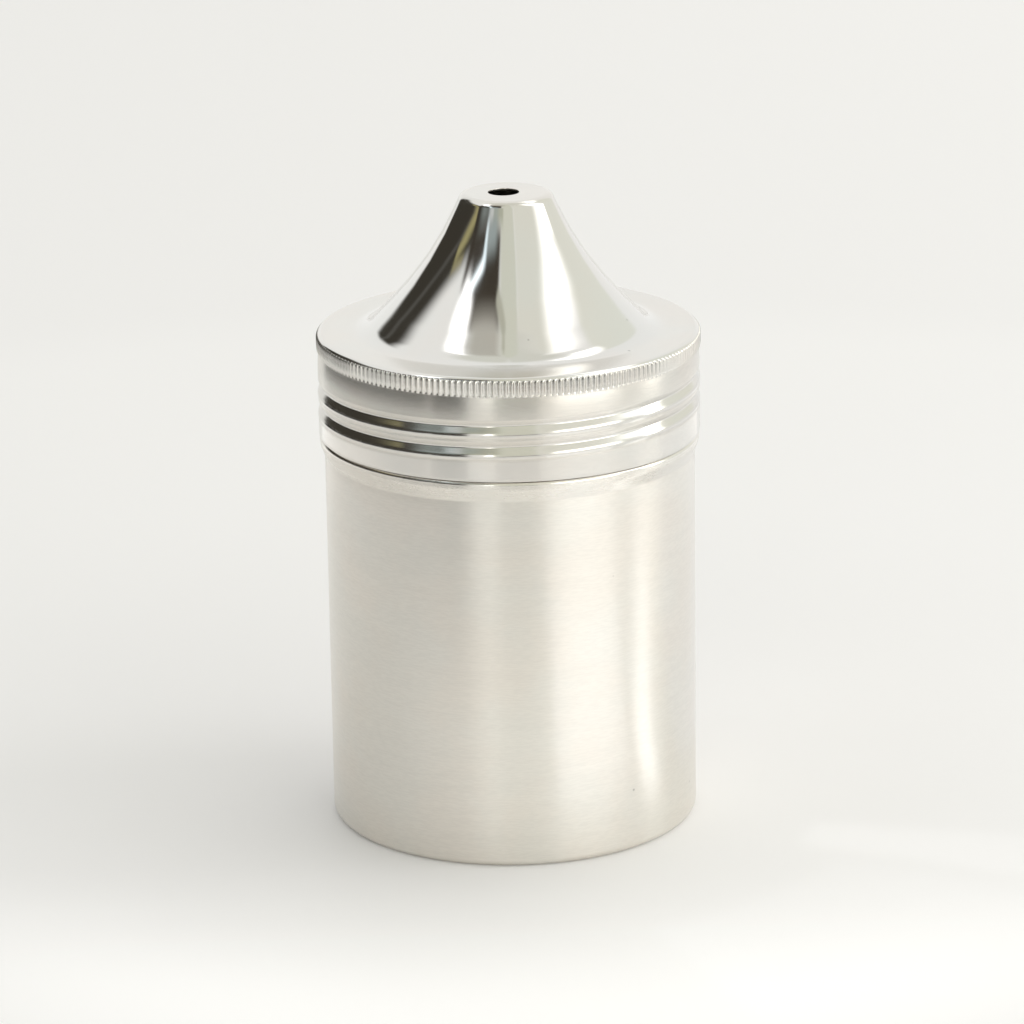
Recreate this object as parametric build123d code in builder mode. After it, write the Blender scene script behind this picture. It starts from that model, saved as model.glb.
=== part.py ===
from build123d import *
import os

# A melting pot for wax: a drawn stainless can with a threaded neck, a screwed-on lid that rises
# into a hollow cone with a small pour hole, and a silicone sealing ring between the two.
# Millimetres, +Z up, origin at the centre of the base. The front of the pot faces -Y.

# Driving dimensions
SHEET = 0.5              # stainless sheet, the same thickness all over
POT_R = 36.0             # outside of the pot wall
LID_R = 37.0             # outside of the lid skirt
LID_IN_R = LID_R - SHEET
LID_EDGE_Z = 77.7        # lower edge of the lid skirt
SHOULDER_Z = 97.9        # flat ring round the foot of the cone
TOP_Z = 124.7            # flat top of the cone
PITCH = 4.1              # rise of the rolled thread in one turn
THREAD_DEPTH = 0.8       # how far the lid's thread is rolled in
HOLE_R = 3.0             # pour hole
HOLE_X = -0.5            # the hole is punched a little off the axis
PUNCH_DEPTH = 2.0        # the punch goes right through the sheet
RIB_COUNT = 202          # grip ribs round the lid

# Pot wall, stop bead and neck
BASE_CORNER_R = 1.5      # outside radius where the base meets the wall
BEAD_R = 36.9            # outside of the stop bead under the lid
BEAD_TOP_Z = 77.55       # the lid's lower edge comes down to just above this
BEAD_SIDE_Z = 75.2       # the bead's side is straight from here up
BEAD_FOOT_Z = 72.6       # the wall starts to swell here
SWELL_MIDDLE = ((POT_R + BEAD_R) / 2, (BEAD_FOOT_Z + BEAD_SIDE_Z) / 2)
BEAD_CORNER_R = 0.7
NECK_FOOT_R = 0.6        # radius between the bead's top and the neck
NECK_GAP = 0.4           # from the neck's plain wall to the lid's thread
CREST_GAP = 0.2          # from the pot's thread to the lid's plain wall
NECK_R = LID_IN_R - THREAD_DEPTH - NECK_GAP
CREST_R = LID_IN_R - CREST_GAP

# Gasket, and the pot's lip that it seals on
GASKET_H = 1.0
GASKET_OUT_R = 36.0
GASKET_IN_R = 33.0
GASKET_EDGE_R = 0.3
LIP_Z = SHOULDER_Z - SHEET - GASKET_H
HEM_H = 1.4              # the lip is folded in and down, so it is two sheets thick
HEM_ROUND_R = 0.45

# Cone: two slopes, in millimetres of radius for each millimetre of height, joined by a long arc
FOOT_SLOPE = 0.97
TIP_SLOPE = 0.45
WAIST_R = 14.5           # the two slopes would meet at this radius
WAIST_Z = 111.85         # and this height
WAIST_ARC_R = 67.0
FOOT_ARC_R = 5.7
TIP_EDGE_R = 1.8
RIM_R = 1.0
FOOT_R = WAIST_R + FOOT_SLOPE * (WAIST_Z - SHOULDER_Z)
TIP_R = WAIST_R - TIP_SLOPE * (TOP_Z - WAIST_Z)

# Grip ribs
RIB_W = 0.55
RIB_H = 0.2              # they stand this far out of the skirt
RIB_LOW_Z = 94.3
RIB_TOP_Z = 97.1

# Thread forms: the lid's groove and the pot's ridge are half a pitch apart
LID_THREAD_Z = 82.95     # the lid's thread starts at this height
LID_THREAD_ANGLE = 90    # and at this angle from +X, so at the back
LID_THREAD_TURNS = 2.0
POT_THREAD_Z = LID_THREAD_Z + 0.75 * PITCH
POT_THREAD_ANGLE = LID_THREAD_ANGLE + 90      # the pot's thread starts a quarter turn later
POT_THREAD_TURNS = 1.75
LID_FORM_W = 1.75        # half width of the lid's groove where it leaves the wall
POT_FORM_W = 1.35        # half width of the pot's ridge where it leaves the neck
TIP_W = 0.15             # half width of the flat at the tip of a form
FADE_TURNS = 0.12        # each end of a thread fades over this much of a turn
BITE = 0.05              # a form's flanks run on this far past the face that they leave
BACK = 0.2               # and its back stands this far behind them


def thread_stretch(turns, wall_r, way, heights, half_width):
    """A bar of blunt V section wound up a right-hand helix of radius wall_r. The V points out of
    the axis if way is 1, and towards it if way is -1. It grows from one height to the other."""
    with BuildPart() as bar:
        with BuildLine() as path:
            Helix(PITCH, turns * PITCH, wall_r)
        for end, height in enumerate(heights):
            out = Vector(1, 0, 0).rotate(Axis.Z, end * turns * 360)
            with BuildSketch(Plane(origin=path.line @ end, x_dir=out, z_dir=path.line % end)):
                with BuildLine():
                    Polyline(
                        (-way * (BITE + BACK), -half_width), (-way * BITE, -half_width),
                        (way * height, -TIP_W), (way * height, TIP_W),
                        (-way * BITE, half_width), (-way * (BITE + BACK), half_width),
                        close=True,
                    )
                make_face()
        sweep(path=path.line, multisection=True, is_frenet=True)
    return bar.part


def thread(start_z, start_angle, turns, wall_r, tip_r, half_width):
    """The three stretches of a rolled thread, to add to a wall or cut from it: it grows out of the
    face of radius wall_r, runs on with its tip at tip_r, and sinks back."""
    way = 1 if tip_r > wall_r else -1
    full, sunk = abs(tip_r - wall_r), -BITE / 2
    level_end = turns - FADE_TURNS
    stretches = []
    for start, end, heights in (
        (0, FADE_TURNS, (sunk, full)),
        (FADE_TURNS, level_end, (full, full)),
        (level_end, turns, (full, sunk)),
    ):
        bar = thread_stretch(end - start, wall_r, way, heights, half_width)
        place = Location((0, 0, start_z + start * PITCH), (0, 0, start_angle + start * 360))
        stretches.append(bar.moved(place))
    return stretches


# Pot body: base, wall, stop bead, neck and folded lip, drawn from one blank
pot_ridge = thread(
    POT_THREAD_Z, POT_THREAD_ANGLE, POT_THREAD_TURNS, NECK_R, CREST_R, POT_FORM_W
)
pot_groove = thread(
    POT_THREAD_Z, POT_THREAD_ANGLE, POT_THREAD_TURNS, NECK_R - SHEET, CREST_R - SHEET, POT_FORM_W
)
with BuildPart() as pot_body:
    with BuildSketch(Plane.XZ):
        with BuildLine():
            base = FilletPolyline(
                (0, 0), (POT_R, 0), (POT_R, BEAD_FOOT_Z / 2), radius=BASE_CORNER_R
            )
            wall = Line(base @ 1, (POT_R, BEAD_FOOT_Z))
            swell = TangentArc(wall @ 1, SWELL_MIDDLE, tangent=wall % 1)
            flare = TangentArc(swell @ 1, (BEAD_R, BEAD_SIDE_Z), tangent=swell % 1)
            FilletPolyline(
                flare @ 1, (BEAD_R, BEAD_TOP_Z), (NECK_R, BEAD_TOP_Z), (NECK_R, LIP_Z - HEM_H / 2),
                radius=(BEAD_CORNER_R, NECK_FOOT_R),
            )
            offset(amount=SHEET, side=Side.LEFT)
        make_face()
    revolve(axis=Axis.Z)
    with BuildSketch(Plane.XZ):
        with Locations((NECK_R - SHEET, LIP_Z - HEM_H / 2)):
            hem = Rectangle(2 * SHEET, HEM_H)
        fillet(hem.vertices(), HEM_ROUND_R)
    revolve(axis=Axis.Z)
    add(pot_ridge)
    add(pot_groove, mode=Mode.SUBTRACT)
pot_body.part.label = "pot_body"

# Lid: skirt, shoulder and cone, spun from one blank, with the thread rolled into the skirt
lid_rib = thread(
    LID_THREAD_Z, LID_THREAD_ANGLE, LID_THREAD_TURNS, LID_IN_R, LID_IN_R - THREAD_DEPTH, LID_FORM_W
)
lid_groove = thread(
    LID_THREAD_Z, LID_THREAD_ANGLE, LID_THREAD_TURNS, LID_R, LID_R - THREAD_DEPTH, LID_FORM_W
)
with BuildPart() as lid:
    with BuildSketch(Plane.XZ):
        with BuildLine():
            FilletPolyline(
                (LID_R, LID_EDGE_Z), (LID_R, SHOULDER_Z), (FOOT_R, SHOULDER_Z),
                (WAIST_R, WAIST_Z), (TIP_R, TOP_Z), (0, TOP_Z),
                radius=(RIM_R, FOOT_ARC_R, WAIST_ARC_R, TIP_EDGE_R),
            )
            offset(amount=SHEET, side=Side.LEFT)
        make_face()
    revolve(axis=Axis.Z)
    add(lid_rib)
    add(lid_groove, mode=Mode.SUBTRACT)
    with Locations((HOLE_X, 0, TOP_Z)):
        Hole(HOLE_R, depth=PUNCH_DEPTH)
    with BuildSketch(Plane.XY.offset(RIB_LOW_Z)):
        with PolarLocations(LID_R - SHEET / 4, RIB_COUNT):
            Rectangle(SHEET / 2 + 2 * RIB_H, RIB_W)
        Circle(LID_R + RIB_H, mode=Mode.INTERSECT)
    extrude(amount=RIB_TOP_Z - RIB_LOW_Z)
lid.part.label = "lid"

# Gasket: a flat silicone ring under the shoulder of the lid
with BuildPart() as lid_gasket:
    with BuildSketch(Plane.XY.offset(LIP_Z)):
        Circle(GASKET_OUT_R)
        Circle(GASKET_IN_R, mode=Mode.SUBTRACT)
    extrude(amount=GASKET_H)
    fillet(lid_gasket.edges().filter_by(GeomType.CIRCLE), GASKET_EDGE_R)
lid_gasket.part.label = "lid_gasket"

os.makedirs("parts", exist_ok=True)
for piece in (pot_body.part, lid.part, lid_gasket.part):
    export_step(piece, f"parts/{piece.label}.step")
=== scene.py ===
import math

import bpy
import numpy as np
from mathutils import Euler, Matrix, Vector


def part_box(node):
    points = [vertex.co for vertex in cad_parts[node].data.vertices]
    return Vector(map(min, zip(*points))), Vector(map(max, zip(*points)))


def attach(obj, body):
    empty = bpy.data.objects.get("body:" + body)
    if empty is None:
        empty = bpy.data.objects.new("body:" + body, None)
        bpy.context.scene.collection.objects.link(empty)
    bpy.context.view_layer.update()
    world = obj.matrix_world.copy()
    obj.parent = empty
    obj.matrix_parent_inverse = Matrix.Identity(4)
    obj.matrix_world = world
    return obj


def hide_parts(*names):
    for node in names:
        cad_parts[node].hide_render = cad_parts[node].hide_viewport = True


# The looks of a stainless melting pot with a screw lid. Shapes are worked out in millimetres and
# written as meshes in metres. The front faces -Y, and every round shape is about the Z axis.

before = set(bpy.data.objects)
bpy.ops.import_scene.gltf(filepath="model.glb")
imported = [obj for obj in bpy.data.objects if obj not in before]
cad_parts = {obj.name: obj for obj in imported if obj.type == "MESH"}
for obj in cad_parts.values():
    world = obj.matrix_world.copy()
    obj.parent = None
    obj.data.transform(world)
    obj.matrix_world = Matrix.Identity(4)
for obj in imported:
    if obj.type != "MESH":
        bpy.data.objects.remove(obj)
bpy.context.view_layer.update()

MM = 0.001


def cad_box_mm(node):
    """Lowest and highest corner of a CAD node, in millimetres."""
    low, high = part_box(node)
    return low / MM, high / MM


lid_low, lid_high = cad_box_mm("lid")
pot_high = cad_box_mm("pot_body")[1]
gasket_high = cad_box_mm("lid_gasket")[1]

# Sizes shared with the CAD model
SHEET = 0.5
RIB_HEIGHT = 0.2
POT_R = 36.0
BEAD_R = pot_high.x
LID_R = lid_high.x - RIB_HEIGHT
LID_EDGE_Z = lid_low.z
TOP_Z = lid_high.z
SHOULDER_Z = gasket_high.z + SHEET
LIP_Z = pot_high.z
THREAD_DEPTH = 0.8
NECK_GAP = 0.4
NECK_R = LID_R - SHEET - THREAD_DEPTH - NECK_GAP
HOLE_R = 3.0
HOLE_X = -0.5
PITCH = 4.1
RIB_COUNT = 202
RIB_LOW_Z, RIB_TOP_Z = 94.2, 97.45

# A ring has one point for each rib, and RIB_STEPS times as many at the rim and the ribs
STEPS = RIB_COUNT
RIB_STEPS = 8
TURN = np.arange(STEPS) / STEPS     # share of a turn from the back, anticlockwise from above

# Polish by place, from 0, satin, to 1, mirror
CONE_POLISH = 1.0
FLAT_POLISH = 0.55                  # flat tip and shoulder
RIM_POLISH = 0.85
RIB_POLISH = 0.45
BAND_POLISH = 0.1                   # plain band between the ribs and the thread
FLANK_POLISH = 0.58                 # lower flanks of the lid's creases
LOWER_POLISH = 0.42                 # lower band and its edge
WALL_POLISH = 0.1
SWELL_POLISH = 0.15                 # swell below the bead, and the neck
BEAD_POLISH = 0.5
LIP_POLISH = 0.4
INNER_POLISH = 0.1                  # insides and the pot's underside


# ---------------------------------------------------------------- profiles and meshes

def smooth_step(x):
    x = np.clip(x, 0, 1)
    return x * x * (3 - 2 * x)


def between(first, second, share):
    return first + (second - first) * share


def rounded(points, radii, arc_step, line_step):
    """Points along a polyline with rounded corners, as arrays of radius and height.
    arc_step is in degrees, and line_step is the longest straight step in millimetres."""
    points = [np.array(p, float) for p in points]
    path = [points[0]]

    def straight_to(end):
        start = path[-1]
        count = max(1, math.ceil(np.linalg.norm(end - start) / line_step))
        path.extend(start + (end - start) * k / count for k in range(1, count + 1))

    for before, corner, after, radius in zip(points, points[1:], points[2:], radii):
        if radius == 0:
            straight_to(corner)
            continue
        back = (before - corner) / np.linalg.norm(before - corner)
        ahead = (after - corner) / np.linalg.norm(after - corner)
        half = math.acos(np.clip(back @ ahead, -1, 1)) / 2
        straight_to(corner + back * radius / math.tan(half))
        middle = (back + ahead) / np.linalg.norm(back + ahead)
        centre = corner + middle * radius / math.sin(half)
        arm = path[-1] - centre
        turn = (math.pi - 2 * half) * math.copysign(1, back[0] * ahead[1] - back[1] * ahead[0])
        count = max(2, math.ceil(abs(math.degrees(turn)) / arc_step))
        for k in range(1, count + 1):
            a = -turn * k / count
            path.append(centre + np.array([
                arm[0] * math.cos(a) - arm[1] * math.sin(a),
                arm[0] * math.sin(a) + arm[1] * math.cos(a),
            ]))
    straight_to(points[-1])
    return np.array(path)


def inset(points, distance):
    """The polyline moved to its right-hand side by a distance, ends moved square to it."""
    points = [np.array(p, float) for p in points]
    lines = []
    for a, b in zip(points, points[1:]):
        d = (b - a) / np.linalg.norm(b - a)
        lines.append((a + distance * np.array([d[1], -d[0]]), d))
    moved = [lines[0][0]]
    for (p, d), (q, e) in zip(lines, lines[1:]):
        t = np.linalg.solve(np.array([d, -e]).T, q - p)[0]
        moved.append(p + d * t)
    moved.append(lines[-1][0] + lines[-1][1] * np.linalg.norm(points[-1] - points[-2]))
    return moved


def ring(radius, height, count=STEPS, centre_x=0.0):
    """One ring of points in millimetres, anticlockwise from above, starting at the back.
    radius and height are numbers or one for each point."""
    a = math.pi / 2 + 2 * math.pi * np.arange(count) / count
    r, z = np.broadcast_to(radius, a.shape), np.broadcast_to(height, a.shape)
    return np.stack([centre_x + r * np.cos(a), r * np.sin(a), z], axis=1)


class Skin:
    """Rings of points in their order along a piece's surface, each with its polish, which is
    one number or one for each point."""

    def __init__(self):
        self.rings = []
        self.polish = []

    def put(self, points, polish):
        self.rings.append(points)
        self.polish.append(np.broadcast_to(polish, len(points)))

    def put_outline(self, outline, polish):
        for r, z in outline:
            self.put(ring(r, z), polish)

    def faces(self, closed):
        """Faces between neighbouring rings, whose numbers of points may differ by a whole
        factor. closed joins the last ring to the first."""
        sizes = [len(r) for r in self.rings]
        starts = np.cumsum([0] + sizes)
        pairs = list(zip(range(len(sizes) - 1), range(1, len(sizes))))
        if closed:
            pairs.append((len(sizes) - 1, 0))
        found = []
        for low, high in pairs:
            n, m = sizes[low], sizes[high]
            coarse = min(n, m)
            for k in range(coarse):
                first = [starts[low] + (k * n // coarse + j) % n for j in range(n // coarse + 1)]
                second = [starts[high] + (k * m // coarse + j) % m for j in range(m // coarse + 1)]
                found.append(first + second[::-1])
        return found

    def piece(self, name, closed=False):
        """A Blender object through the rings: closed into a loop, or with a point in the middle
        of its first and last ring."""
        faces = self.faces(closed)
        verts = np.concatenate(self.rings)
        polish = np.concatenate(self.polish)
        steps = [np.linalg.norm(a[0] - b[0]) for a, b in zip(self.rings, self.rings[1:])]
        travelled = np.cumsum([0.0] + steps)
        across = np.concatenate([np.full(len(r), s) for r, s in zip(self.rings, travelled)])
        if not closed:
            last = len(verts) - len(self.rings[-1])
            for start, edge, flip in ((0, self.rings[0], False), (last, self.rings[-1], True)):
                tip, n = len(verts), len(edge)
                verts = np.vstack([verts, [0, 0, edge[0][2]]])
                polish = np.append(polish, polish[start])
                across = np.append(across, across[start])
                for k in range(n):
                    a, b = start + k, start + (k + 1) % n
                    faces.append([a, b, tip] if flip else [b, a, tip])
        mesh = bpy.data.meshes.new(name)
        mesh.from_pydata((verts * MM).tolist(), [], [list(map(int, f)) for f in faces])
        for label, values in (("polish", polish), ("across", across)):
            layer = mesh.attributes.new(label, "FLOAT", "POINT")
            layer.data.foreach_set("value", values.astype(np.float32))
        mesh.polygons.foreach_set("use_smooth", np.ones(len(mesh.polygons), bool))
        mesh.update()
        return new_object(name, mesh)


def new_object(name, data):
    made = bpy.data.objects.new(name, data)
    bpy.context.scene.collection.objects.link(made)
    return made


# ---------------------------------------------------------------- thread

LID_THREAD_Z = 82.4                 # height of the lid's crease where it starts, at the back
LID_THREAD_TURNS = 2.0
CREASE_DROP = 0.55                  # the lid's creases are this much lower than in the CAD model
POT_THREAD_START = 0.25             # in turns from the back
POT_THREAD_Z = LID_THREAD_Z + CREASE_DROP + (POT_THREAD_START + 0.5) * PITCH
POT_THREAD_TURNS = 1.75
POT_THREAD_HEIGHT = 1.0
POT_THREAD_HALF = 1.45              # half the height that one turn takes up
FADE_TURNS = 0.14

LID_CREASE_DEPTH = 0.60
LID_CREST_HEIGHT = 0.12
FLANK = 1.80                        # height of the sloping flank below the crease
FLANK_EASE = 0.4                    # share of the flank over which it levels out
CREST_ROUND = 0.7
LEAD_IN = 1.15                      # the wall above slopes in to the crease over this height
LEAD_IN_CURVE = 1.1
CREASE_SOFTNESS = 0.18
BURNISH_ABOVE, BURNISH_BELOW = 0.5, 0.55    # the flank's polish goes on this far past it
BURNISH_FADE = 0.3
BAND_PINCH, BAND_LOW_Z = 0.22, 90.3         # the plain band narrows from here up to the ribs


def thread_turns(z, start_z, start_turn, turns):
    """For each turn of a helix that passes a ring at height z: the distance above it of each
    point of the ring, and how fully formed the thread is there."""
    found = []
    for whole in range(-1, math.ceil(turns) + 1):
        along = TURN - start_turn + whole
        grown = smooth_step(along / FADE_TURNS) * smooth_step((turns - along) / FADE_TURNS)
        found.append((z - (start_z + PITCH * along), grown))
    return found


def lid_form(above):
    """How far the lid's wall lies out of true at this height above the crease."""
    down = np.clip(-above / FLANK, 0, 1)
    late = np.maximum(down - (1 - FLANK_EASE), 0)
    slope = (LID_CREASE_DEPTH + LID_CREST_HEIGHT) / (1 - FLANK_EASE / 2)
    flank = -LID_CREASE_DEPTH + slope * (down - late ** 2 / (2 * FLANK_EASE))
    crest = LID_CREST_HEIGHT * (1 - smooth_step((-above - FLANK) / CREST_ROUND))
    upper = -LID_CREASE_DEPTH * (1 - np.clip(above / LEAD_IN, 0, 1)) ** LEAD_IN_CURVE
    return np.where(above >= 0, upper, np.where(above > -FLANK, flank, crest))


def soften(form, above, width):
    """The form averaged over a short height, which rounds its corners."""
    places = np.linspace(-1, 1, 9)
    weights = 1 - 0.9 * np.abs(places)
    return sum(w * form(above + p * width) for w, p in zip(weights, places)) / weights.sum()


def band_offset(z):
    return -BAND_PINCH * np.clip((z - BAND_LOW_Z) / (RIB_LOW_Z - BAND_LOW_Z), 0, 1) ** 2


def lid_wall(z):
    """Radial offset of the lid's wall at height z, and how much of it is the burnished flank."""
    offset, flank = np.full(STEPS, band_offset(z)), np.zeros(STEPS)
    margin = 2 * CREASE_SOFTNESS
    for above, grown in thread_turns(z, LID_THREAD_Z, 0.0, LID_THREAD_TURNS):
        near = (above > -FLANK - CREST_ROUND - margin) & (above < LEAD_IN + margin)
        offset += np.where(near, soften(lid_form, above, CREASE_SOFTNESS) * grown, 0)
        burnished = (smooth_step((above + FLANK + BURNISH_BELOW) / BURNISH_FADE)
                     * smooth_step((BURNISH_ABOVE - above) / BURNISH_FADE))
        flank = np.maximum(flank, burnished * grown)
    return offset, flank


def pot_wall(z):
    """Radial offset of the neck at height z."""
    offset = np.zeros(STEPS)
    for above, grown in thread_turns(z, POT_THREAD_Z, POT_THREAD_START, POT_THREAD_TURNS):
        wave = 0.5 + 0.5 * np.cos(np.pi * above / POT_THREAD_HALF)
        offset += np.where(np.abs(above) < POT_THREAD_HALF, POT_THREAD_HEIGHT * wave, 0) * grown
    return offset


# ---------------------------------------------------------------- lid

TIP_FLAT_R = 7.0                    # the top is flat at least this far out
WAIST_R, WAIST_Z = 14.5, 111.85     # where the cone's two slopes would meet
FOOT_SLOPE, TIP_SLOPE = 0.97, 0.45  # radius for each unit of height
FOOT_R = WAIST_R + FOOT_SLOPE * (WAIST_Z - SHOULDER_Z)
TIP_R = WAIST_R - TIP_SLOPE * (TOP_Z - WAIST_Z)
TIP_ROUND, WAIST_ROUND, FOOT_ROUND, RIM_ROUND = 1.8, 67.0, 5.7, 1.0
HOLE_EDGE = 0.06                    # rounding of the hole's upper edge

RIB_SINK = 0.22                     # the skin between the ribs is pressed in this far
RIB_SHARPNESS = 1.6
RIB_END_TOP, RIB_END_LOW = 0.35, 0.4    # the ribs rise from the wall over these heights

# The part of the wall with close rings, which follow the thread
WALL_HIGH_Z, WALL_LOW_Z = 93.4, 80.0
WALL_LEVELS = np.linspace(WALL_HIGH_Z, WALL_LOW_Z, 106)

LOWER_BAND_DROP = 2.4               # the lower band's polish starts this far below the crease
LOWER_BAND_FADE = 0.6
HEM_ROUND_OUT, HEM_ROUND_IN = 0.12, 0.2

LID_OUTLINE = [(TIP_FLAT_R, TOP_Z), (TIP_R, TOP_Z), (WAIST_R, WAIST_Z), (FOOT_R, SHOULDER_Z),
               (LID_R, SHOULDER_Z), (LID_R, SHOULDER_Z - RIM_ROUND - 0.1)]


def put_flat(skin, z, polish, inward=False):
    """The flat top between the hole and the tip, as rings that change from one circle to the
    other."""
    hole, edge = ring(HOLE_R, z, centre_x=HOLE_X), ring(TIP_FLAT_R, z)
    shares = np.array([0.02, 0.05, 0.2, 0.5, 0.8])
    for share in (shares[::-1] if inward else shares):
        skin.put(between(hole, edge, share), polish)


def top_polish(r, z):
    if r > FOOT_R + 4 and z < SHOULDER_Z - 0.02:
        return RIM_POLISH
    if r > FOOT_R:
        return between(CONE_POLISH, FLAT_POLISH, smooth_step((r - FOOT_R) / 3.0))
    return between(FLAT_POLISH, CONE_POLISH, smooth_step(TOP_Z - 0.2 - z))


def put_lid_top(skin):
    """From the hole over the tip, cone and shoulder to the start of the ribs."""
    for r, z in ((HOLE_R, TOP_Z - SHEET + HOLE_EDGE), (HOLE_R, TOP_Z - HOLE_EDGE),
                 (HOLE_R + 0.3 * HOLE_EDGE, TOP_Z - 0.3 * HOLE_EDGE)):
        skin.put(ring(r, z, centre_x=HOLE_X), INNER_POLISH)
    put_flat(skin, TOP_Z, FLAT_POLISH)
    radii = (TIP_ROUND, WAIST_ROUND, FOOT_ROUND, RIM_ROUND)
    for r, z in rounded(LID_OUTLINE, radii, arc_step=5.0, line_step=1.5):
        if r > FOOT_R and z <= RIB_TOP_Z:
            break
        fine = r > LID_R - 1.2
        skin.put(ring(r, z, STEPS * (RIB_STEPS if fine else 1)), top_polish(r, z))


def put_ribs(skin):
    count = STEPS * RIB_STEPS
    phase = (np.arange(count) % RIB_STEPS) / RIB_STEPS
    crown = (0.5 + 0.5 * np.cos(2 * np.pi * (phase - 0.5))) ** RIB_SHARPNESS
    form = (RIB_HEIGHT + RIB_SINK) * crown - RIB_SINK
    upper_end = np.linspace(RIB_TOP_Z, RIB_TOP_Z - 0.5, 6)
    middle = np.linspace(RIB_TOP_Z - 0.9, RIB_LOW_Z + 0.9, 3)
    lower_end = np.linspace(RIB_LOW_Z + 0.5, RIB_LOW_Z - 0.1, 5)
    for z in np.concatenate([upper_end, middle, lower_end]):
        ends = (smooth_step((RIB_TOP_Z - z) / RIB_END_TOP)
                * smooth_step((z - RIB_LOW_Z) / RIB_END_LOW))
        over = max(0.0, z - (SHOULDER_Z - RIM_ROUND))
        wall = LID_R - RIM_ROUND + math.sqrt(RIM_ROUND ** 2 - over ** 2)
        wall += band_offset(z) * smooth_step((RIB_LOW_Z + 0.7 - z) / 0.8)
        out = np.minimum(form * ends, LID_R + RIB_HEIGHT - wall)
        polish = between(RIB_POLISH, RIM_POLISH, smooth_step((z - RIB_TOP_Z + RIB_END_TOP) / 0.3))
        polish = between(BAND_POLISH, polish, smooth_step((z - RIB_LOW_Z) / 0.5 + 0.2))
        skin.put(ring(wall + out, z, count), polish)
    below = RIB_LOW_Z - 0.3
    skin.put(ring(LID_R + band_offset(below), below, count), BAND_POLISH)


def put_lid_side(skin):
    """Plain band, thread, lower band and the lid's lower edge."""
    above = WALL_HIGH_Z + 0.25
    skin.put(ring(LID_R + band_offset(above), above), BAND_POLISH)
    for z in WALL_LEVELS:
        offset, flank = lid_wall(z)
        drop = LID_THREAD_Z + PITCH * TURN - z
        lower = smooth_step((drop - LOWER_BAND_DROP) / LOWER_BAND_FADE)
        polish = np.maximum(FLANK_POLISH * flank, LOWER_POLISH * lower)
        skin.put(ring(LID_R + offset, z), np.maximum(polish, BAND_POLISH))
    hem = [(LID_R, WALL_LOW_Z), (LID_R, LID_EDGE_Z), (LID_R - SHEET, LID_EDGE_Z),
           (LID_R - SHEET, LID_EDGE_Z + 0.4)]
    hem = rounded(hem, (HEM_ROUND_OUT, HEM_ROUND_IN), arc_step=15.0, line_step=0.6)
    skin.put_outline(hem[1:], LOWER_POLISH)


def put_lid_inside(skin):
    """From the lower edge up to the hole, one sheet inside the outer skin."""
    for z in np.linspace(LID_EDGE_Z + 1.0, WALL_LOW_Z - 0.4, 3):
        skin.put(ring(LID_R - SHEET, z), INNER_POLISH)
    for z in WALL_LEVELS[::-3]:
        skin.put(ring(LID_R - SHEET + lid_wall(z)[0], z), INNER_POLISH)
    radii = (TIP_ROUND - SHEET, WAIST_ROUND + SHEET, FOOT_ROUND + SHEET, RIM_ROUND - SHEET)
    under = rounded(inset(LID_OUTLINE, SHEET), radii, arc_step=6.0, line_step=2.5)
    skin.put_outline(under[::-1], INNER_POLISH)
    put_flat(skin, TOP_Z - SHEET, FLAT_POLISH, inward=True)


def make_lid():
    skin = Skin()
    put_lid_top(skin)
    put_ribs(skin)
    put_lid_side(skin)
    put_lid_inside(skin)
    return skin.piece("lid_shell", closed=True)


# ---------------------------------------------------------------- pot

BASE_ROUND = 1.5
BASE_FLAT_R = 30.0
BASE_RINGS = (4.0, 12.0, 21.0)
SWELL_LOW_Z = 72.0                  # the wall is straight up to here
SWELL_BEND_Z, SWELL_FULL_Z = 73.6, 75.95    # the slope between the wall and the bead
SWELL_TOP_Z = 76.5
BEAD_TOP_Z = LID_EDGE_Z - 0.04      # a gap this small stays open under the lid's edge
NECK_LOW_Z = 79.0
LIP_FOLD = 1.4                      # height of the fold at the lip
LIP_ROUND = 0.45


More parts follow.
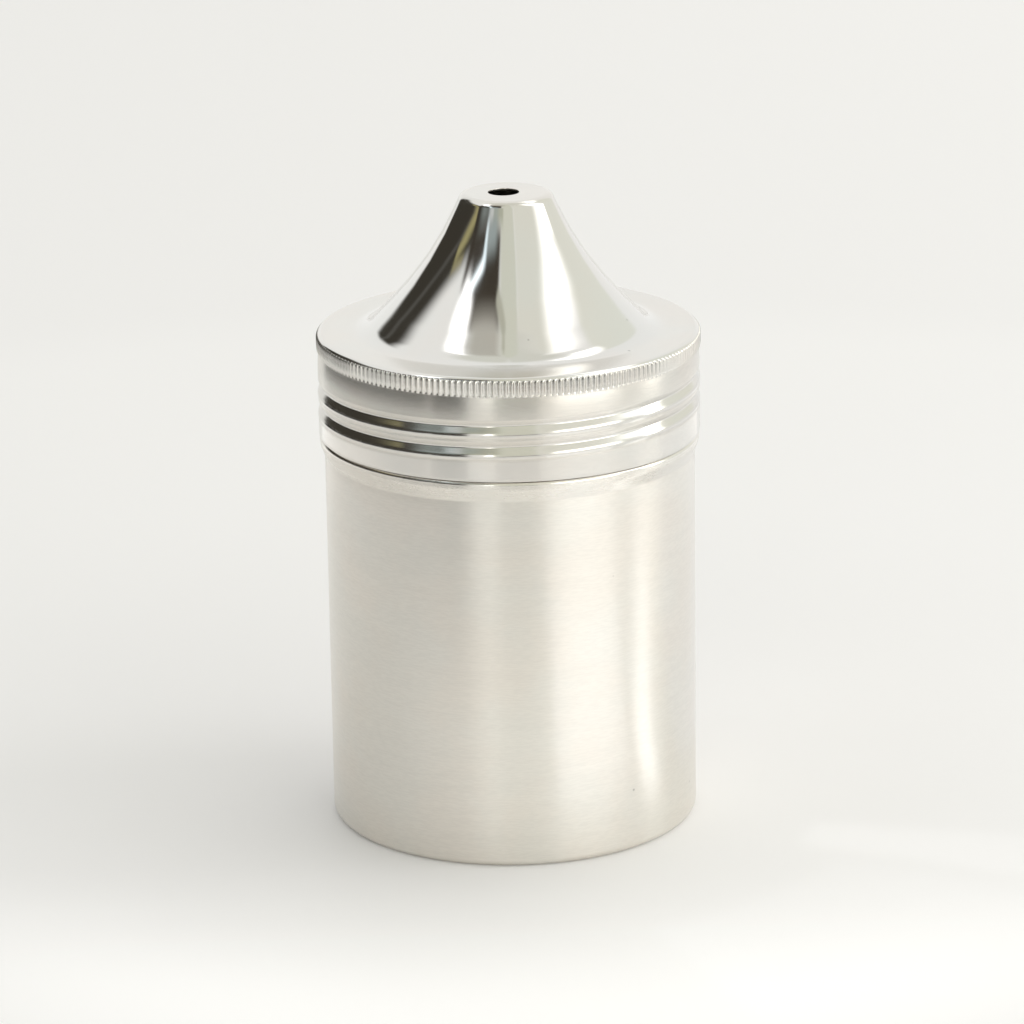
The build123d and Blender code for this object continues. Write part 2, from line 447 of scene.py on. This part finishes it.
def make_pot():
    skin = Skin()

    # Outside, from the middle of the base up to the lip
    for r in BASE_RINGS:
        skin.put(ring(r, 0.0), INNER_POLISH)
    can = rounded([(BASE_FLAT_R, 0.0), (POT_R, 0.0), (POT_R, SWELL_LOW_Z)], (BASE_ROUND,),
                  arc_step=9.0, line_step=8.0)
    skin.put_outline(can, WALL_POLISH)
    swell = rounded([(POT_R, SWELL_LOW_Z), (POT_R, SWELL_BEND_Z), (BEAD_R, SWELL_FULL_Z),
                     (BEAD_R, SWELL_TOP_Z)], (1.3, 2.0), arc_step=2.0, line_step=0.5)
    for r, z in swell[1:]:
        skin.put(ring(r, z), SWELL_POLISH * smooth_step((z - SWELL_BEND_Z + 0.2) / 0.8))
    bead = rounded([(BEAD_R, SWELL_TOP_Z), (BEAD_R, BEAD_TOP_Z), (NECK_R, BEAD_TOP_Z),
                    (NECK_R, NECK_LOW_Z)], (0.75, 0.6), arc_step=4.0, line_step=0.8)
    for r, z in bead[1:]:
        skin.put(ring(r, z), between(SWELL_POLISH, BEAD_POLISH, smooth_step((z - SWELL_TOP_Z) / 0.3)))
    for z in np.arange(NECK_LOW_Z + 0.15, LIP_Z - 1.0, 0.15):
        skin.put(ring(NECK_R + pot_wall(z), z), SWELL_POLISH)
    fold_r = NECK_R - 2 * SHEET
    lip = rounded([(NECK_R, LIP_Z - 0.9), (NECK_R, LIP_Z), (fold_r, LIP_Z), (fold_r, LIP_Z - LIP_FOLD),
                   (NECK_R - SHEET, LIP_Z - LIP_FOLD), (NECK_R - SHEET, LIP_Z - LIP_FOLD - 0.3)],
                  (LIP_ROUND, LIP_ROUND, 0.3, 0.0), arc_step=12.0, line_step=0.6)
    skin.put_outline(lip, LIP_POLISH)

    # Inside, from the lip down to the middle of the floor
    for z in np.arange(LIP_Z - LIP_FOLD - 0.4, NECK_LOW_Z, -0.3):
        skin.put(ring(NECK_R - SHEET + pot_wall(z), z), INNER_POLISH)
    under_bead = rounded([(NECK_R - SHEET, NECK_LOW_Z - 0.1), (NECK_R - SHEET, BEAD_TOP_Z - SHEET),
                          (BEAD_R - SHEET, BEAD_TOP_Z - SHEET), (BEAD_R - SHEET, SWELL_TOP_Z)],
                         (1.1, 0.2), arc_step=12.0, line_step=1.0)
    skin.put_outline(under_bead[1:], INNER_POLISH)
    skin.put_outline(swell[::-1][1:] - (SHEET, 0), INNER_POLISH)
    floor = rounded([(POT_R - SHEET, SWELL_LOW_Z), (POT_R - SHEET, SHEET), (20.0, SHEET)], (1.0,),
                    arc_step=12.0, line_step=10.0)
    skin.put_outline(floor, INNER_POLISH)
    for r in (12.0, 4.0):
        skin.put(ring(r, SHEET), INNER_POLISH)
    return skin.piece("pot_shell")


# ---------------------------------------------------------------- shader nodes

def node(tree, kind, **settings):
    made = tree.nodes.new(kind)
    for key, value in settings.items():
        setattr(made, key, value)
    return made


def feed(tree, socket, value):
    """Links an output to a socket, or sets the socket to a number, vector or colour."""
    if isinstance(value, bpy.types.NodeSocket):
        tree.links.new(value, socket)
    elif socket.type == "RGBA":
        socket.default_value = (*value, 1)
    else:
        socket.default_value = value


def math_node(tree, operation, *inputs):
    made = node(tree, "ShaderNodeMath", operation=operation)
    for socket, value in zip(made.inputs, inputs):
        feed(tree, socket, value)
    return made.outputs[0]


def vector_node(tree, operation, vector, second=None):
    """second is the other vector, or the factor of a SCALE."""
    made = node(tree, "ShaderNodeVectorMath", operation=operation)
    feed(tree, made.inputs[0], vector)
    if second is not None:
        feed(tree, made.inputs["Scale" if operation == "SCALE" else 1], second)
    return made.outputs["Value" if operation == "LENGTH" else "Vector"]


def span(tree, value, low, high, to_low=0.0, to_high=1.0):
    """value mapped smoothly from one range to another."""
    made = node(tree, "ShaderNodeMapRange", interpolation_type="SMOOTHSTEP")
    for label, given in (("Value", value), ("From Min", low), ("From Max", high),
                         ("To Min", to_low), ("To Max", to_high)):
        feed(tree, made.inputs[label], given)
    return made.outputs[0]


def mixed(tree, share, first, second, kind="RGBA", label=""):
    """Between two colours, or two numbers where kind is FLOAT."""
    made = node(tree, "ShaderNodeMix", data_type=kind, label=label)
    sockets = [s for s in made.inputs if s.enabled]
    for socket, value in zip(sockets, (share, first, second)):
        feed(tree, socket, value)
    return next(s for s in made.outputs if s.enabled)


def noise(tree, where, scale, detail):
    made = node(tree, "ShaderNodeTexNoise")
    feed(tree, made.inputs["Vector"], where)
    feed(tree, made.inputs["Scale"], scale)
    feed(tree, made.inputs["Detail"], detail)
    return made.outputs["Fac"]


def combined(tree, *values):
    made = node(tree, "ShaderNodeCombineXYZ")
    for socket, value in zip(made.inputs, values):
        feed(tree, socket, value)
    return made.outputs[0]


def separated(tree, vector):
    made = node(tree, "ShaderNodeSeparateXYZ")
    feed(tree, made.inputs[0], vector)
    return made.outputs


def object_place(tree):
    return node(tree, "ShaderNodeTexCoord").outputs["Object"]


def attribute(tree, name):
    return node(tree, "ShaderNodeAttribute", attribute_name=name).outputs["Fac"]


def new_material(name):
    """A material, its tree and its shader's inputs."""
    material = bpy.data.materials.new(name)
    material.use_nodes = True
    tree = material.node_tree
    return material, tree, tree.nodes["Principled BSDF"].inputs


# ---------------------------------------------------------------- materials

def brushing(tree, where, round_scale, across_scale, detail):
    """Noise that is long round the axis and fine across it."""
    x, y, _ = separated(tree, vector_node(
        tree, "NORMALIZE", vector_node(tree, "MULTIPLY", where, (1, 1, 0))))
    place = combined(tree, math_node(tree, "MULTIPLY", x, round_scale),
                     math_node(tree, "MULTIPLY", y, round_scale),
                     math_node(tree, "MULTIPLY", attribute(tree, "across"), across_scale))
    return noise(tree, place, 1.0, detail)


def handling_pits(tree, where):
    """A dot in a few of the cells of a cell pattern."""
    cells_per_metre, share_without = 260.0, 0.955
    cells = node(tree, "ShaderNodeTexVoronoi")
    feed(tree, cells.inputs["Vector"], where)
    feed(tree, cells.inputs["Scale"], cells_per_metre)
    chance = node(tree, "ShaderNodeSeparateColor")
    feed(tree, chance.inputs[0], cells.outputs["Color"])
    dot = span(tree, cells.outputs["Distance"], 0.10, 0.03)
    return math_node(tree, "MULTIPLY", dot,
                     math_node(tree, "GREATER_THAN", chance.outputs[0], share_without))


def steel(name, satin_colour, mirror_colour, satin_roughness, mirror_roughness, anisotropy):
    """Stainless sheet, satin to mirror by the mesh's polish."""
    material, tree, shader = new_material(name)
    where = object_place(tree)
    polish = attribute(tree, "polish")
    fine = brushing(tree, where, 20.0, 3.6, 2.0)
    broad = brushing(tree, where, 2.5, 0.8, 3.0)
    blotch = noise(tree, where, 60.0, 4.0)

    # Colour: the sheet's own, a little darker in the deeper scratches and the pits
    scratches = math_node(tree, "ADD", span(tree, fine, 0.35, 0.65, 0.04, 0.0),
                          span(tree, broad, 0.3, 0.7, 0.022, 0.0))
    scratches = math_node(tree, "MULTIPLY", scratches, span(tree, polish, 0.0, 1.0, 1.0, 0.1))
    pits = math_node(tree, "MULTIPLY", handling_pits(tree, where), 0.35)
    shade = math_node(tree, "SUBTRACT", 1.02, math_node(tree, "ADD", scratches, pits))
    warm, cool = (1.007, 0.996, 0.990), (0.993, 1.004, 1.010)
    tint = mixed(tree, span(tree, blotch, 0.35, 0.65), warm, cool)
    colour = vector_node(tree, "MULTIPLY", mixed(tree, polish, satin_colour, mirror_colour), tint)
    feed(tree, shader["Base Color"], vector_node(tree, "SCALE", colour, shade))

    # Roughness: the sheet's own, with the brushing and the blotches
    satin = math_node(tree, "ADD", span(tree, fine, 0.3, 0.7, -0.004, 0.006),
                      span(tree, blotch, 0.35, 0.7, satin_roughness - 0.002,
                           satin_roughness + 0.003))
    mirror = span(tree, blotch, 0.35, 0.75, mirror_roughness, 1.8 * mirror_roughness)
    feed(tree, shader["Roughness"], mixed(tree, polish, satin, mirror, kind="FLOAT"))

    bump = node(tree, "ShaderNodeBump")
    feed(tree, bump.inputs["Distance"], 0.00001)
    feed(tree, bump.inputs["Strength"], span(tree, polish, 0.0, 0.8, 0.015, 0.0))
    feed(tree, bump.inputs["Height"], fine)
    feed(tree, shader["Normal"], bump.outputs[0])
    tangent = node(tree, "ShaderNodeTangent", direction_type="RADIAL", axis="Z")
    feed(tree, shader["Tangent"], tangent.outputs[0])
    feed(tree, shader["Metallic"], 1.0)
    feed(tree, shader["Anisotropic"], anisotropy)
    feed(tree, shader["Anisotropic Rotation"], 0.25)
    return material


def silicone():
    material, tree, shader = new_material("silicone")
    grain = noise(tree, object_place(tree), 900.0, 2.0)
    feed(tree, shader["Base Color"], (0.76, 0.76, 0.72))
    feed(tree, shader["Roughness"], span(tree, grain, 0.3, 0.7, 0.45, 0.6))
    feed(tree, shader["Subsurface Weight"], 0.3)
    feed(tree, shader["Subsurface Radius"], (0.002, 0.002, 0.002))
    return material


# ---------------------------------------------------------------- studio

# The studio round the pot, as seen from it: panels in degrees of azimuth, from the camera's side
# towards +X, and elevation. Each has its middle, half size, tilt, softness and light, and it
# covers those before it.
AMBIENT = (1.02, 1.02, 1.00)
PANELS = [
    ("grey ceiling", (0, 90), (180, 22), 0, 6, (0.80, 0.80, 0.73)),
    ("front curtain", (2, 36), (15, 50), 0, 3, (0.76, 0.77, 0.67)),
    ("front right wall", (48, 30), (30, 40), 0, 2, (0.87, 0.87, 0.79)),
    ("front right, low", (47, 4), (20, 15), 0, 5, (3.4, 3.4, 3.3)),
    ("right wall", (120, 20), (22, 30), 0, 3, (0.91, 0.92, 0.84)),
    ("back ceiling light", (135, 57), (24, 6), 0, 4, (2.2, 2.2, 2.15)),
    ("key softbox", (80, 44), (10, 22), 28, 11, (2.4, 2.4, 2.36)),
    ("key softbox, low", (95, 10), (6, 12), 0, 4, (5.0, 5.0, 4.8)),
    ("left wall, low", (-20, 30), (12, 9), 0, 3, (0.50, 0.52, 0.42)),
    ("dark room", (-85.5, 7), (59.5, 20), 0, 3, (0.050, 0.045, 0.036)),
    ("dark room, middle", (-93, 31), (52, 7), 0, 5, (0.050, 0.045, 0.036)),
    ("dark room, upper", (-46, 51), (31, 15), 8, 3, (0.055, 0.045, 0.034)),
    ("beam", (-42, 70), (22, 5), 8, 8, (0.58, 0.56, 0.50)),
    ("wall corner", (-13, 66), (9, 4), 45, 2, (0.55, 0.55, 0.46)),
    ("haze, low", (-47, 26), (14, 4), 0, 8, (0.42, 0.48, 0.47)),
    ("window, left", (-73, 57), (11, 7.5), -35, 4.5, (2.6, 2.6, 2.6)),
    ("window, bar", (-62, 50.5), (18, 2.0), -12, 2, (2.0, 2.2, 2.3)),
    ("window, right", (-43, 42), (2.5, 6), 10, 3, (1.3, 1.5, 1.6)),
    ("window glow", (-31, 40), (10, 4), 0, 6, (0.40, 0.46, 0.46)),
    ("lamp", (-85, 29), (12, 2.5), -5, 2, (0.42, 0.38, 0.19)),
    ("lamp, upper", (-90, 35), (7, 1.5), 12, 1.5, (0.38, 0.34, 0.18)),
    ("gap", (-12.5, 2), (2.0, 16), 0, 1.5, (3.5, 3.5, 3.4)),
]

# Cards lying on the table, out of the camera's sight, which only the sheen of the steel shows, as
# in a photographer's studio: nearest and furthest reach in metres, lowest and highest azimuth in
# degrees, and how light they are
CARDS = [
    ("black, left", 0.36, 3.0, -46, -24, 0.01),
    ("black, far left", 0.40, 3.0, -140, -48, 0.01),
    ("grey, front", 0.36, 3.0, -8, 17, 0.36),
    ("white ring", 0.265, 0.32, -150, 150, 1.35),
    ("white, right", 0.07, 0.19, 21, 62, 1.2),
    ("strip, near", 0.06, 0.11, 66, 77.5, 1.5),
    ("strip, middle", 0.11, 0.15, 71, 82.5, 1.5),
    ("strip, far", 0.15, 0.20, 76, 87, 1.5),
    ("white, far right", 0.06, 3.0, 97, 160, 0.92),
]
CARD_HEIGHT = 0.001
LAMP_COLOUR = (1.0, 1.0, 0.985)     # of the floor's glow and of the cards


def make_camera():
    aim = Vector((0, 0, 0.06035))
    elevation, distance = math.radians(17.4), 0.95
    data = bpy.data.cameras.new("camera")
    data.lens = 170.7
    data.sensor_width = 36.0
    data.shift_x = 0.0011
    data.clip_start = 0.05
    camera = new_object("camera", data)
    camera.location = aim + distance * Vector((0, -math.cos(elevation), math.sin(elevation)))
    look = (aim - camera.location).to_track_quat("-Z", "Y")
    lean = Euler((0, 0, math.radians(-0.87))).to_quaternion()
    camera.rotation_mode = "QUATERNION"
    camera.rotation_quaternion = look @ lean
    bpy.context.scene.camera = camera


def panel_mask(tree, azimuth, elevation, place, size, tilt, soft):
    """1 inside a tilted panel of the studio, 0 outside it."""
    across = math_node(tree, "SUBTRACT", azimuth, place[0])
    up = math_node(tree, "SUBTRACT", elevation, place[1])
    c, s = math.cos(math.radians(tilt)), math.sin(math.radians(tilt))
    sides = []
    for across_share, up_share, half in ((c, s, size[0]), (-s, c, size[1])):
        away = math_node(tree, "ADD", math_node(tree, "MULTIPLY", across, across_share),
                         math_node(tree, "MULTIPLY", up, up_share))
        sides.append(span(tree, math_node(tree, "ABSOLUTE", away), half + soft,
                          max(0.0, half - soft)))
    return math_node(tree, "MULTIPLY", *sides)


def make_world():
    world = bpy.data.worlds.new("studio")
    bpy.context.scene.world = world
    world.use_nodes = True
    tree = world.node_tree
    x, y, z = separated(tree, node(tree, "ShaderNodeTexCoord").outputs["Generated"])
    azimuth = math_node(tree, "DEGREES", math_node(
        tree, "ARCTAN2", x, math_node(tree, "MULTIPLY", y, -1.0)))
    elevation = math_node(tree, "DEGREES", math_node(tree, "ARCSINE", z))
    colour = AMBIENT
    for name, place, size, tilt, soft, light in PANELS:
        mask = panel_mask(tree, azimuth, elevation, place, size, tilt, soft)
        colour = mixed(tree, mask, colour, light, label=name)
    feed(tree, tree.nodes["Background"].inputs["Color"], colour)


def make_floor():
    count = 128
    verts, faces = [(0, 0, 0)], []
    for radius in (0.5, 2.0, 6.0):
        base = len(verts)
        for k in range(count):
            a = 2 * math.pi * k / count
            verts.append((radius * math.cos(a), radius * math.sin(a), 0))
        for k in range(count):
            a, b = base + k, base + (k + 1) % count
            faces.append((a, b, 0) if base == 1 else (a - count, a, b, b - count))
    mesh = bpy.data.meshes.new("floor")
    mesh.from_pydata(verts, [], faces)
    floor = new_object("floor", mesh)

    material, tree, shader = new_material("floor")
    where = object_place(tree)
    x, y, _ = separated(tree, where)
    reach = vector_node(tree, "LENGTH", where)
    near, far = (0.79, 0.778, 0.778), (0.768, 0.755, 0.756)
    colour = mixed(tree, span(tree, reach, 0.34, 0.40), near, far)
    # The floor's colour is painted lighter towards the right: painted light, standing in for more of
    # the studio's light falling on that side
    painted_light_right = span(tree, x, -0.3, 0.5, 0.975, 1.10)
    feed(tree, shader["Base Color"], vector_node(tree, "SCALE", colour, painted_light_right))
    feed(tree, shader["Roughness"], 0.6)
    # A little light of its own, most just in front of the pot, stands in for a fill light
    front = math_node(tree, "MULTIPLY", span(tree, y, -0.03, -0.11),
                      span(tree, reach, 0.10, 0.185, 0.20, -0.04))
    glow = math_node(tree, "ADD", front, span(tree, reach, 0.10, 0.22, 0.095, 0.115))
    feed(tree, shader["Emission Color"], LAMP_COLOUR)
    feed(tree, shader["Emission Strength"], glow)
    floor.data.materials.append(material)


def make_cards():
    for label, near, far, low, high, light in CARDS:
        verts, faces = [], []
        for azimuth in np.linspace(low, high, 30):
            a = math.radians(azimuth)
            verts += [(reach * math.sin(a), -reach * math.cos(a), CARD_HEIGHT)
                      for reach in (near, far)]
        for n in range(0, len(verts) - 2, 2):
            faces.append((n, n + 1, n + 3, n + 2))
        name = "card_" + label.replace(", ", "_").replace(" ", "_")
        mesh = bpy.data.meshes.new(name)
        mesh.from_pydata(verts, [], faces)
        card = new_object(name, mesh)
        for kind in ("camera", "diffuse", "transmission", "volume_scatter", "shadow"):
            setattr(card, "visible_" + kind, False)
        material, tree, shader = new_material(name)
        feed(tree, shader["Base Color"], (0.0, 0.0, 0.0))
        feed(tree, shader["Specular IOR Level"], 0.0)
        feed(tree, shader["Emission Color"], LAMP_COLOUR)
        feed(tree, shader["Emission Strength"], light)
        card.data.materials.append(material)


# ---------------------------------------------------------------- assembly

satin_steel = steel("brushed_stainless", satin_colour=(0.80, 0.768, 0.710),
                    mirror_colour=(0.79, 0.765, 0.715), satin_roughness=0.304,
                    mirror_roughness=0.08, anisotropy=0.68)
lid_steel = steel("polished_stainless", satin_colour=(0.735, 0.706, 0.652),
                  mirror_colour=(0.735, 0.724, 0.700), satin_roughness=0.28,
                  mirror_roughness=0.06, anisotropy=0.72)

pot = make_pot()
pot.data.materials.append(satin_steel)
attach(pot, "pot")
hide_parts("pot_body")

lid = make_lid()
lid.data.materials.append(lid_steel)
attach(lid, "lid")
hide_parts("lid")

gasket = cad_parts["lid_gasket"]
gasket.data.materials.clear()
gasket.data.materials.append(silicone())

make_camera()
make_world()
make_floor()
make_cards()
bpy.context.scene.view_settings.view_transform = "Standard"
